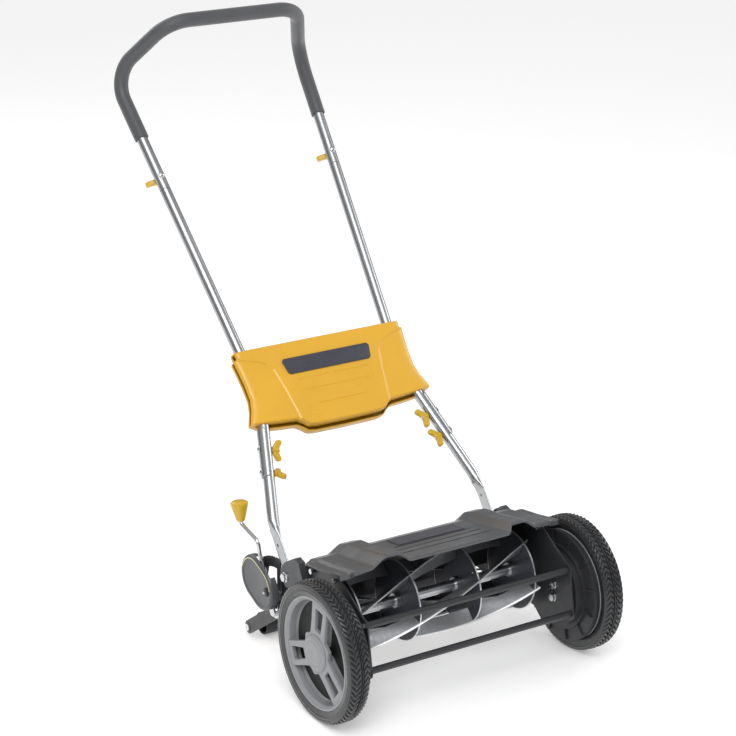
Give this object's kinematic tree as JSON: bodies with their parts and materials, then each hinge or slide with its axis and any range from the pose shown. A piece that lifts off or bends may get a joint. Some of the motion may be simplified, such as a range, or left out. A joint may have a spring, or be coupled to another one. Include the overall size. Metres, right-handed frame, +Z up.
{
  "type": "reel mower",
  "caption": "Push reel mower with two gear-driven wheels, a spiral cutting reel, rear roller, height lever and folding tube handle.",
  "frame": {"origin": "on the ground, under the middle of the overall box", "axes": "+Z up; +Y from the front of the mower to the handle; +X across, towards the side without the height lever"},
  "size_m": [0.5954, 1.012, 1.121],
  "materials": {
    "black_paint": "satin",
    "black_plastic": "moulded, fine grain",
    "zinc": "bright zinc plate",
    "bearing_steel": "ground",
    "dark_steel": "satin",
    "knife_steel": "ground edge",
    "disc_paint": "satin",
    "deck_grey": "moulded, semi-gloss",
    "badge_dark": "smooth",
    "bracket_grey": "zinc plate",
    "knob_yellow": "moulded",
    "roller_black": "moulded",
    "tyre": "moulded rubber",
    "rim_grey": "moulded, satin",
    "gear_nylon": "moulded",
    "gear_iron": "machined",
    "tube_zinc": "bright zinc plate",
    "foam": "closed-cell foam",
    "panel_yellow": "moulded, semi-gloss",
    "panel_back_yellow": "moulded, semi-gloss"
  },
  "bodies": {
    "frame": {"side_plate_left": "black_paint", "side_plate_right": "black_paint", "wheel_cover_left": "black_plastic", "wheel_cover_right": "black_plastic", "axle_left": "zinc", "axle_right": "zinc", "axle_bolts": "zinc", "axle_clips": "zinc", "reel_bearings": "bearing_steel", "tie_rod_upper": "dark_steel", "tie_rod_lower": "dark_steel", "frame_screws": "zinc", "bedknife": "knife_steel", "bedknife_bar": "black_paint", "bedknife_screws": "zinc", "deck_cover": "deck_grey", "deck_badge": "badge_dark", "rear_baffle": "black_plastic", "handle_bracket_left": "bracket_grey", "handle_bracket_right": "bracket_grey", "pivot_bolts": "zinc", "height_sector": "black_paint", "lever_cover": "deck_grey"},
    "roller_carriage": {"roller_arm_left": "black_paint", "roller_arm_right": "black_paint", "carriage_shaft": "zinc", "roller_axle": "zinc", "height_lever": "zinc", "lever_knob": "knob_yellow"},
    "roller": {"rear_roller": "roller_black"},
    "wheel_left": {"tyre_left": "tyre", "rim_left": "rim_grey", "hub_cap_left": "rim_grey", "ring_gear_left": "gear_nylon"},
    "wheel_right": {"tyre_right": "tyre", "rim_right": "rim_grey", "hub_cap_right": "rim_grey", "ring_gear_right": "gear_nylon"},
    "pinion_left_body": {"pinion_left": "gear_iron"},
    "pinion_right_body": {"pinion_right": "gear_iron"},
    "reel": {"reel_shaft": "bearing_steel", "reel_discs": "disc_paint", "reel_blades": "knife_steel", "drive_pawls": "gear_iron"},
    "handle": {"upper_tube": "tube_zinc", "foam_grip": "foam", "middle_tube_left": "tube_zinc", "middle_tube_right": "tube_zinc", "lower_tube_left": "tube_zinc", "lower_tube_right": "tube_zinc", "panel_front": "panel_yellow", "panel_back": "panel_back_yellow", "panel_badge": "badge_dark", "handle_bolts": "zinc"},
    "knob_upper_left": {"wing_knob_upper_left": "knob_yellow"},
    "knob_upper_right": {"wing_knob_upper_right": "knob_yellow"},
    "knob_middle_left": {"wing_knob_middle_left": "knob_yellow"},
    "knob_middle_right": {"wing_knob_middle_right": "knob_yellow"},
    "knob_lower_left": {"wing_knob_lower_left": "knob_yellow"},
    "knob_lower_right": {"wing_knob_lower_right": "knob_yellow"}
  },
  "joints": [
    {"name": "wheel_left_spin", "type": "hinge", "parent": "frame", "child": "wheel_left", "pos_m": [-0.275, -0.37589, 0.13], "axis": [1, 0, 0], "continuous": true},
    {"name": "wheel_right_spin", "type": "hinge", "parent": "frame", "child": "wheel_right", "pos_m": [0.275, -0.37589, 0.13], "axis": [1, 0, 0], "continuous": true},
    {"name": "reel_spin", "type": "hinge", "parent": "frame", "child": "reel", "pos_m": [0, -0.29546, 0.146], "axis": [1, 0, 0], "continuous": true},
    {"name": "pinion_left_spin", "type": "hinge", "parent": "frame", "child": "pinion_left_body", "pos_m": [-0.2575, -0.29546, 0.146], "axis": [1, 0, 0], "continuous": true},
    {"name": "pinion_right_spin", "type": "hinge", "parent": "frame", "child": "pinion_right_body", "pos_m": [0.2575, -0.29546, 0.146], "axis": [1, 0, 0], "continuous": true},
    {"name": "carriage_tilt", "type": "hinge", "parent": "frame", "child": "roller_carriage", "pos_m": [0, -0.13389, 0.1], "axis": [1, 0, 0], "range_deg": [0, 16]},
    {"name": "roller_spin", "type": "hinge", "parent": "roller_carriage", "child": "roller", "pos_m": [0, -0.02389, 0.022], "axis": [1, 0, 0], "continuous": true},
    {"name": "handle_fold", "type": "hinge", "parent": "frame", "child": "handle", "pos_m": [0, -0.17789, 0.187], "axis": [1, 0, 0], "range_deg": [0, 50]},
    {"name": "knob_upper_left_turn", "type": "hinge", "parent": "handle", "child": "knob_upper_left", "pos_m": [-0.1938, 0.36063, 0.81587], "axis": [0, -0.7547, 0.6561], "continuous": true},
    {"name": "knob_upper_right_turn", "type": "hinge", "parent": "handle", "child": "knob_upper_right", "pos_m": [0.1938, 0.36063, 0.81587], "axis": [0, -0.7547, 0.6561], "continuous": true},
    {"name": "knob_middle_left_turn", "type": "hinge", "parent": "handle", "child": "knob_middle_left", "pos_m": [-0.18557, -0.02492, 0.37533], "axis": [-0.9645, 0.1733, 0.1994], "continuous": true},
    {"name": "knob_middle_right_turn", "type": "hinge", "parent": "handle", "child": "knob_middle_right", "pos_m": [0.18557, -0.02492, 0.37533], "axis": [0.9645, 0.1733, 0.1994], "continuous": true},
    {"name": "knob_lower_left_turn", "type": "hinge", "parent": "handle", "child": "knob_lower_left", "pos_m": [-0.19772, -0.05403, 0.34185], "axis": [-0.9645, 0.1733, 0.1994], "continuous": true},
    {"name": "knob_lower_right_turn", "type": "hinge", "parent": "handle", "child": "knob_lower_right", "pos_m": [0.19772, -0.05403, 0.34185], "axis": [0.9645, 0.1733, 0.1994], "continuous": true}
  ],
  "couplings": [
    {"joint": "reel_spin", "follows": "wheel_left_spin", "ratio": 6.125},
    {"joint": "pinion_left_spin", "follows": "wheel_left_spin", "ratio": 6.125},
    {"joint": "pinion_right_spin", "follows": "wheel_right_spin", "ratio": 6.125}
  ]
}
